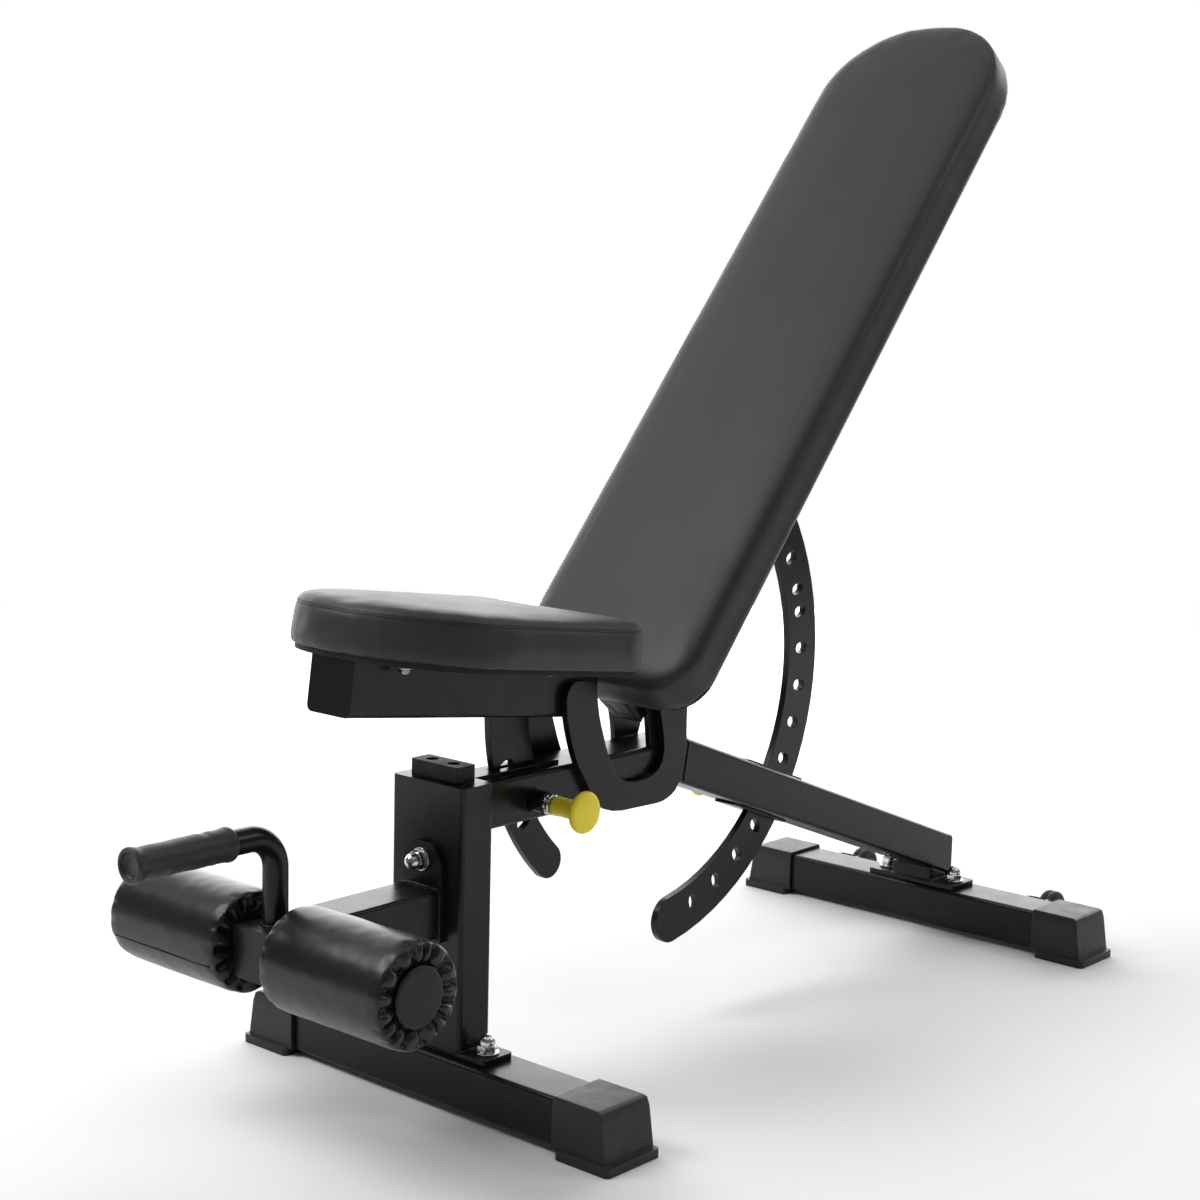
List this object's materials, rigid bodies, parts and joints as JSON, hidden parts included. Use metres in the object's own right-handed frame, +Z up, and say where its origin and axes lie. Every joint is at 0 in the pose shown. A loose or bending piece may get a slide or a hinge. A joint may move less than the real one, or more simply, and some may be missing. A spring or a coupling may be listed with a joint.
{
  "type": "adjustable weight bench",
  "caption": "Adjustable weight bench with a tilting seat, a reclining backrest set by pull pins in slotted arcs, foam leg rollers, a front handle and transport wheels.",
  "frame": {"origin": "on the floor under the middle of the bench's bounding box", "axes": "+Z is up; +Y runs along the bench from the leg rollers to the rear foot and transport wheels; +X is across, to the side of the seat's pull pin"},
  "size_m": [0.525, 1.38, 1.1481],
  "materials": {
    "powder_coat": "satin black powder coat",
    "pad_vinyl": "dark grey grained vinyl over foam",
    "roller_vinyl": "semi-gloss black vinyl over foam",
    "plywood": "plywood stained black",
    "cap_plastic": "black moulded plastic with a fine texture",
    "black_plastic": "black moulded plastic",
    "block_rubber": "matt black rubber",
    "grip_rubber": "black rubber grip",
    "wheel_rubber": "black rubber wheel",
    "yellow_plastic": "yellow moulded plastic",
    "zinc_steel": "bright zinc plate",
    "spring_steel": "drawn spring wire"
  },
  "bodies": {
    "frame": {"front_foot_tube": "powder_coat", "front_foot_cap_left": "cap_plastic", "front_foot_bolt_left": "zinc_steel", "front_foot_cap_right": "cap_plastic", "front_foot_bolt_right": "zinc_steel", "rear_foot_tube": "powder_coat", "rear_foot_cap_left": "cap_plastic", "rear_foot_bolt_left": "zinc_steel", "rear_foot_cap_right": "cap_plastic", "rear_foot_bolt_right": "zinc_steel", "post_base_plate": "powder_coat", "post": "powder_coat", "seat_stop_block": "block_rubber", "stop_block_screw_left": "zinc_steel", "stop_block_screw_right": "zinc_steel", "beam_level_tube": "powder_coat", "beam_sloped_tube": "powder_coat", "rear_foot_mount": "powder_coat", "seat_arc_guide": "powder_coat", "ladder_guide_upper": "powder_coat", "ladder_guide_lower": "powder_coat", "pivot_cheek_left": "powder_coat", "pivot_cheek_right": "powder_coat", "pivot_bolt": "zinc_steel", "seat_pin_boss": "powder_coat", "seat_pin_sleeve": "zinc_steel", "seat_pin_spring": "spring_steel", "back_pin_boss": "powder_coat", "back_pin_sleeve": "zinc_steel", "back_pin_spring": "spring_steel", "leg_arm": "powder_coat", "leg_arm_bolt": "zinc_steel", "roller_bar": "powder_coat", "handle_bar": "powder_coat", "handle_grip": "grip_rubber", "wheel_bracket_left": "powder_coat", "wheel_bracket_right": "powder_coat"},
    "seat": {"seat_pad": "pad_vinyl", "seat_board": "plywood", "seat_channel": "powder_coat", "seat_arc_plate": "powder_coat", "seat_link_left": "powder_coat", "seat_link_right": "powder_coat"},
    "backrest": {"back_pad": "pad_vinyl", "back_board": "plywood", "back_spine": "powder_coat", "back_ladder_plate": "powder_coat"},
    "seat_pin": {"seat_pin_plunger": "zinc_steel", "seat_pin_knob": "yellow_plastic"},
    "back_pin": {"back_pin_plunger": "zinc_steel", "back_pin_knob": "yellow_plastic"},
    "roller_left": {"roller_pad_left": "roller_vinyl", "roller_core_left": "black_plastic", "roller_cap_left": "black_plastic"},
    "roller_right": {"roller_pad_right": "roller_vinyl", "roller_core_right": "black_plastic", "roller_cap_right": "black_plastic"},
    "wheel_left": {"transport_wheel_left": "wheel_rubber"},
    "wheel_right": {"transport_wheel_right": "wheel_rubber"}
  },
  "joints": [
    {"name": "backrest_angle", "type": "hinge", "parent": "frame", "child": "backrest", "pos_m": [0, 0.006, 0.389], "axis": [1, 0, 0], "range_deg": [-60.2, 36.8]},
    {"name": "seat_angle", "type": "hinge", "parent": "frame", "child": "seat", "pos_m": [0, 0.006, 0.389], "axis": [1, 0, 0], "range_deg": [-8.4, 8.4]},
    {"name": "seat_pin_pull", "type": "slide", "parent": "frame", "child": "seat_pin", "axis": [1, 0, 0], "range_m": [0, 0.01], "stiffness_N_per_m": 1500, "springref_m": -0.005, "deforming": ["seat_pin_spring"]},
    {"name": "back_pin_pull", "type": "slide", "parent": "frame", "child": "back_pin", "axis": [-1, 0, 0], "range_m": [0, 0.01], "stiffness_N_per_m": 1500, "springref_m": -0.005, "deforming": ["back_pin_spring"]},
    {"name": "roller_spin_left", "type": "hinge", "parent": "frame", "child": "roller_left", "pos_m": [0, -0.523, 0.201], "axis": [1, 0, 0], "continuous": true},
    {"name": "roller_spin_right", "type": "hinge", "parent": "frame", "child": "roller_right", "pos_m": [0, -0.523, 0.201], "axis": [1, 0, 0], "continuous": true},
    {"name": "wheel_spin_left", "type": "hinge", "parent": "frame", "child": "wheel_left", "pos_m": [-0.148, 0.666, 0.028], "axis": [1, 0, 0], "continuous": true},
    {"name": "wheel_spin_right", "type": "hinge", "parent": "frame", "child": "wheel_right", "pos_m": [0.148, 0.666, 0.028], "axis": [1, 0, 0], "continuous": true}
  ]
}
